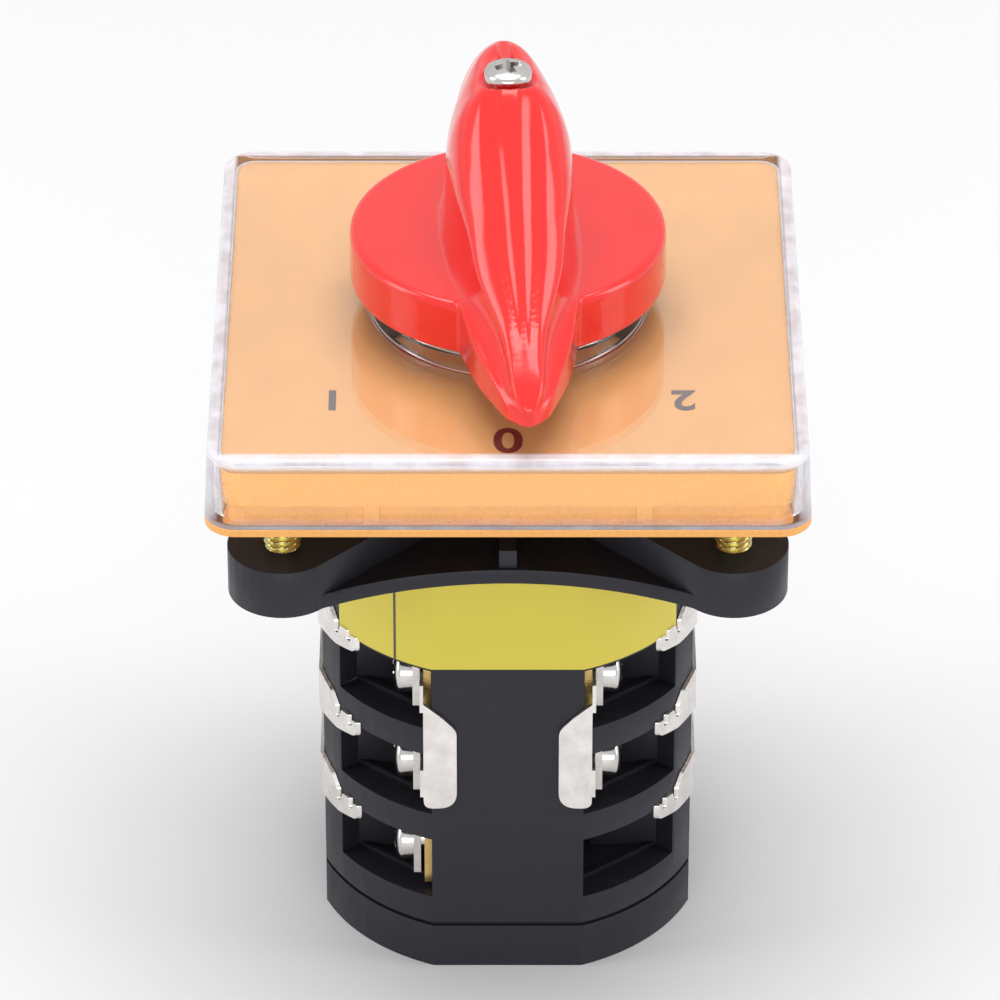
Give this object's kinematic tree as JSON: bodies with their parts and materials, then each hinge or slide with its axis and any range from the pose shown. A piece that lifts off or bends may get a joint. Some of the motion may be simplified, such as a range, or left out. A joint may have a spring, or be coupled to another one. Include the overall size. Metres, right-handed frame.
{
  "type": "rotary cam switch",
  "caption": "Forward-stop-reverse cam switch: fin handle on a clear-covered square plate, four-armed flange, stacked round contact stages with wire windows.",
  "frame": {"origin": "middle of the base's underside, on the shaft axis", "axes": "+Z along the shaft towards the handle, -Y towards the dial's middle mark, +X to the right of it"},
  "size_m": [0.064, 0.064, 0.1049],
  "materials": {
    "black_plastic": "satin moulded",
    "red_plastic": "glossy moulded",
    "clear_plastic": "clear polished",
    "frame_yellow": "smooth moulded",
    "legend_yellow": "smooth sheet",
    "label_yellow": "printed foil",
    "nickel": "nickel plated",
    "zinc_yellow": "yellow zinc plated",
    "brass_contact": "rolled brass",
    "spring_steel": "bright wire",
    "shaft_steel": "turned",
    "ivory_plastic": "moulded"
  },
  "bodies": {
    "housing": {"rear_cover": "black_plastic", "stage_housing_1": "black_plastic", "stage_housing_2": "black_plastic", "stage_housing_3": "black_plastic", "tie_screws": "nickel", "detent_plate": "black_plastic", "mounting_flange": "black_plastic", "detent_springs": "spring_steel", "rating_label": "label_yellow", "front_frame": "frame_yellow", "legend_plate": "legend_yellow", "clear_cover": "clear_plastic", "panel_screws": "zinc_yellow", "fixed_contacts_1": "brass_contact", "fixed_contacts_2": "brass_contact", "fixed_contacts_3": "brass_contact", "clamp_washers_1": "nickel", "clamp_washers_2": "nickel", "clamp_washers_3": "nickel", "terminal_screws_1": "nickel", "terminal_screws_2": "nickel", "terminal_screws_3": "nickel", "side_clips_1": "nickel", "side_clips_2": "nickel", "side_clips_3": "nickel", "jumper_left": "nickel", "jumper_right": "nickel", "front_spring_1": "spring_steel", "front_spring_2": "spring_steel", "front_spring_3": "spring_steel", "rear_spring_1": "spring_steel", "rear_spring_2": "spring_steel", "rear_spring_3": "spring_steel"},
    "rotor": {"shaft": "shaft_steel", "star_wheel": "ivory_plastic", "cam_1": "ivory_plastic", "cam_2": "ivory_plastic", "cam_3": "ivory_plastic", "handle": "red_plastic", "handle_screw": "nickel"},
    "front_contact_1": {"front_plunger_1": "ivory_plastic", "front_bridge_1": "brass_contact"},
    "front_contact_2": {"front_plunger_2": "ivory_plastic", "front_bridge_2": "brass_contact"},
    "front_contact_3": {"front_plunger_3": "ivory_plastic", "front_bridge_3": "brass_contact"},
    "rear_contact_1": {"rear_plunger_1": "ivory_plastic", "rear_bridge_1": "brass_contact"},
    "rear_contact_2": {"rear_plunger_2": "ivory_plastic", "rear_bridge_2": "brass_contact"},
    "rear_contact_3": {"rear_plunger_3": "ivory_plastic", "rear_bridge_3": "brass_contact"}
  },
  "joints": [
    {"name": "knob_turn", "type": "hinge", "parent": "housing", "child": "rotor", "pos_m": [0, 0, 0], "axis": [0, 0, 1], "range_deg": [-45, 45], "deforming": ["detent_springs"]},
    {"name": "front_contact_1_slide", "type": "slide", "parent": "housing", "child": "front_contact_1", "axis": [0, 1, 0], "range_m": [-0.0015, 0.0015], "deforming": ["front_spring_1"]},
    {"name": "front_contact_2_slide", "type": "slide", "parent": "housing", "child": "front_contact_2", "axis": [0, 1, 0], "range_m": [-0.0015, 0.0015], "deforming": ["front_spring_2"]},
    {"name": "front_contact_3_slide", "type": "slide", "parent": "housing", "child": "front_contact_3", "axis": [0, 1, 0], "range_m": [-0.0015, 0.0015], "deforming": ["front_spring_3"]},
    {"name": "rear_contact_1_slide", "type": "slide", "parent": "housing", "child": "rear_contact_1", "axis": [0, 1, 0], "range_m": [-0.0015, 0.0015], "deforming": ["rear_spring_1"]},
    {"name": "rear_contact_2_slide", "type": "slide", "parent": "housing", "child": "rear_contact_2", "axis": [0, 1, 0], "range_m": [-0.0015, 0.0015], "deforming": ["rear_spring_2"]},
    {"name": "rear_contact_3_slide", "type": "slide", "parent": "housing", "child": "rear_contact_3", "axis": [0, 1, 0], "range_m": [-0.0015, 0.0015], "deforming": ["rear_spring_3"]}
  ],
  "couplings": [
    {"joint": "front_contact_1_slide", "follows": "knob_turn", "m_per_rad": 0.0019099},
    {"joint": "front_contact_2_slide", "follows": "knob_turn", "m_per_rad": 0.0019099},
    {"joint": "front_contact_3_slide", "follows": "knob_turn", "m_per_rad": 0.0019099},
    {"joint": "rear_contact_1_slide", "follows": "knob_turn", "m_per_rad": 0.0019099},
    {"joint": "rear_contact_2_slide", "follows": "knob_turn", "m_per_rad": 0.0019099},
    {"joint": "rear_contact_3_slide", "follows": "knob_turn", "m_per_rad": 0.0019099}
  ]
}
